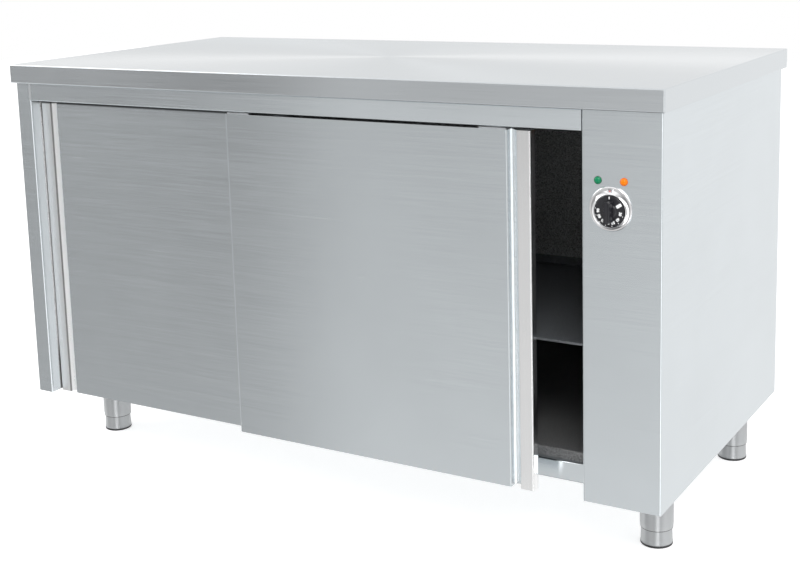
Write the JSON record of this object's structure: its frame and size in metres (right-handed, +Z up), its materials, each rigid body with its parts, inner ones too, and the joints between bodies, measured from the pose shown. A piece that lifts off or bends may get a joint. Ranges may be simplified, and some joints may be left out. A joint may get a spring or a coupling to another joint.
{
  "type": "heated plate cupboard",
  "caption": "Stainless hot cupboard for plates: flat worktop, sliding doors with folded edge grips, a shelf inside, a dial and pilot lamps beside the doors, and adjustable feet.",
  "frame": {"origin": "on the floor under the middle of the worktop, feet wound in", "axes": "+X to the right as seen from the front, +Y to the back, +Z up"},
  "size_m": [1.4, 0.7155, 0.825],
  "materials": {
    "stainless_top": "brushed stainless sheet, grain left to right",
    "stainless": "brushed stainless sheet, grain left to right",
    "stainless_bright": "polished stainless sheet and turned parts",
    "chamber_steel": "stainless sheet in shadow, slightly darkened by heat",
    "zinc_steel": "zinc plated steel",
    "track_aluminium": "plain extruded and pressed aluminium",
    "bezel_chrome": "bright chrome",
    "element_steel": "heat darkened steel tube",
    "sensor_copper": "bare copper tube",
    "black_gloss": "black glossy thermoset with white figures",
    "black_plastic": "black moulded plastic",
    "stop_rubber": "black rubber",
    "white_nylon": "natural nylon",
    "green_lens": "green translucent lens",
    "orange_lens": "orange translucent lens"
  },
  "bodies": {
    "cabinet": {"worktop": "stainless_top", "worktop_stiffeners": "zinc_steel", "left_side_panel": "stainless", "right_side_panel": "stainless", "header_rail": "stainless", "upper_track": "track_aluminium", "track_buffers": "stop_rubber", "base_tray": "stainless", "chamber_floor": "chamber_steel", "left_liner": "chamber_steel", "back_liner": "chamber_steel", "partition": "chamber_steel", "chamber_ceiling": "chamber_steel", "back_panel": "stainless", "service_cover": "stainless", "shelf": "stainless_bright", "shelf_rails": "stainless_bright", "guide_bracket": "stainless", "guide_blocks": "white_nylon", "body_screws": "zinc_steel", "heater_housing": "chamber_steel", "heating_element": "element_steel", "fan_motor": "zinc_steel", "intake_grille": "chamber_steel", "thermostat": "black_plastic", "capillary": "sensor_copper", "dial_bezel": "bezel_chrome", "green_lens": "green_lens", "orange_lens": "orange_lens", "lamp_bodies": "black_plastic", "terminal_block": "white_nylon", "cable_gland": "black_plastic", "front_left_collar": "stainless_bright", "front_right_collar": "stainless_bright", "rear_left_collar": "stainless_bright", "rear_right_collar": "stainless_bright"},
    "right_door": {"right_door_skin": "stainless", "right_door_inner": "stainless", "right_door_handle": "stainless_bright", "right_door_hangers": "zinc_steel"},
    "left_door": {"left_door_skin": "stainless", "left_door_inner": "stainless", "left_door_handle": "stainless_bright", "left_door_hangers": "zinc_steel"},
    "right_rollers_inner": {"right_rollers_inner": "white_nylon"},
    "right_rollers_outer": {"right_rollers_outer": "white_nylon"},
    "left_rollers_inner": {"left_rollers_inner": "white_nylon"},
    "left_rollers_outer": {"left_rollers_outer": "white_nylon"},
    "dial": {"dial_knob": "black_gloss", "thermostat_shaft": "zinc_steel"},
    "fan": {"fan_wheel": "track_aluminium", "fan_shaft": "zinc_steel"},
    "front_left_foot": {"front_left_foot": "stainless_bright", "front_left_sole": "black_plastic"},
    "front_right_foot": {"front_right_foot": "stainless_bright", "front_right_sole": "black_plastic"},
    "rear_left_foot": {"rear_left_foot": "stainless_bright", "rear_left_sole": "black_plastic"},
    "rear_right_foot": {"rear_right_foot": "stainless_bright", "rear_right_sole": "black_plastic"}
  },
  "joints": [
    {"name": "right_door_slide", "type": "slide", "parent": "cabinet", "child": "right_door", "axis": [1, 0, 0], "range_m": [-0.4595, 0.09]},
    {"name": "left_door_slide", "type": "slide", "parent": "cabinet", "child": "left_door", "axis": [1, 0, 0], "range_m": [0, 0.5495]},
    {"name": "right_rollers_inner_spin", "type": "hinge", "parent": "right_door", "child": "right_rollers_inner", "pos_m": [-0.1295, -0.329, 0.7688], "axis": [0, 1, 0], "range_deg": [-2650, 530]},
    {"name": "right_rollers_outer_spin", "type": "hinge", "parent": "right_door", "child": "right_rollers_outer", "pos_m": [0.397, -0.329, 0.7688], "axis": [0, 1, 0], "range_deg": [-2650, 530]},
    {"name": "left_rollers_inner_spin", "type": "hinge", "parent": "left_door", "child": "left_rollers_inner", "pos_m": [-0.0585, -0.304, 0.7688], "axis": [0, 1, 0], "range_deg": [0, 3160]},
    {"name": "left_rollers_outer_spin", "type": "hinge", "parent": "left_door", "child": "left_rollers_outer", "pos_m": [-0.585, -0.304, 0.7688], "axis": [0, 1, 0], "range_deg": [0, 3160]},
    {"name": "dial_turn", "type": "hinge", "parent": "cabinet", "child": "dial", "pos_m": [0.608, -0.34, 0.626], "axis": [0, 1, 0], "range_deg": [0, 280]},
    {"name": "fan_spin", "type": "hinge", "parent": "cabinet", "child": "fan", "pos_m": [0.558, 0.02, 0.484], "axis": [1, 0, 0], "continuous": true},
    {"name": "front_left_foot_height", "type": "slide", "parent": "cabinet", "child": "front_left_foot", "axis": [0, 0, -1], "range_m": [0, 0.035]},
    {"name": "front_right_foot_height", "type": "slide", "parent": "cabinet", "child": "front_right_foot", "axis": [0, 0, -1], "range_m": [0, 0.035]},
    {"name": "rear_left_foot_height", "type": "slide", "parent": "cabinet", "child": "rear_left_foot", "axis": [0, 0, -1], "range_m": [0, 0.035]},
    {"name": "rear_right_foot_height", "type": "slide", "parent": "cabinet", "child": "rear_right_foot", "axis": [0, 0, -1], "range_m": [0, 0.035]}
  ],
  "couplings": [
    {"joint": "right_rollers_inner_spin", "follows": "right_door_slide", "rad_per_m": 100},
    {"joint": "right_rollers_outer_spin", "follows": "right_door_slide", "rad_per_m": 100},
    {"joint": "left_rollers_inner_spin", "follows": "left_door_slide", "rad_per_m": 100},
    {"joint": "left_rollers_outer_spin", "follows": "left_door_slide", "rad_per_m": 100}
  ]
}
